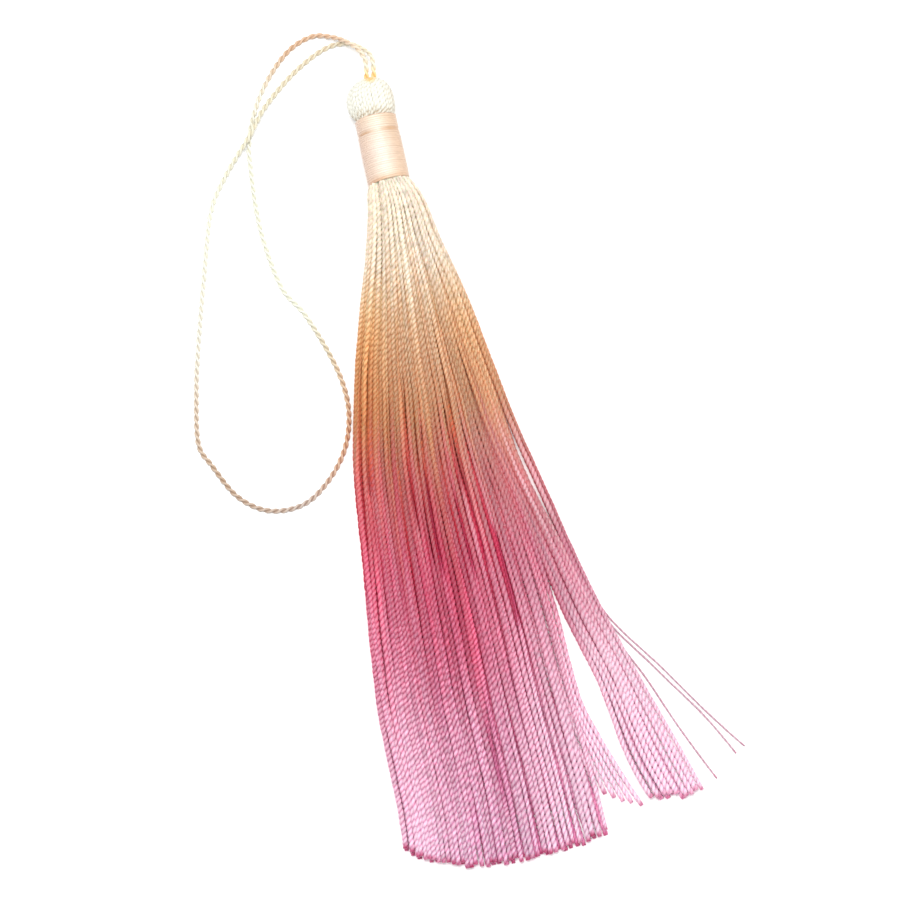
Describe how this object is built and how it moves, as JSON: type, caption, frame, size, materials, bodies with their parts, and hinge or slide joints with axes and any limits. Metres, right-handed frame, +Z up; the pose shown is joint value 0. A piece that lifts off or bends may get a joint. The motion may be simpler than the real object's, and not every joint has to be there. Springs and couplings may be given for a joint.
{
  "type": "tassel",
  "caption": "Long tassel of twisted threads that shade from cream to rose, with a bound neck, a round head and a doubled hanging cord, lying on its side.",
  "frame": {"origin": "middle of the footprint of the threads and the binding, on the surface that the tassel lies on", "axes": "+Z up from the surface, +Y along the neck from the cut ends towards the head, +X to the side on which a lock parts from the skirt"},
  "size_m": [0.077, 0.1413, 0.0077],
  "materials": {
    "threads": "glossy twisted thread",
    "binding": "glossy wound thread",
    "cord": "satin twisted cord"
  },
  "bodies": {
    "root": {"thread_bundle": "threads", "neck_binding": "binding", "hanging_cord": "cord"}
  },
  "joints": []
}
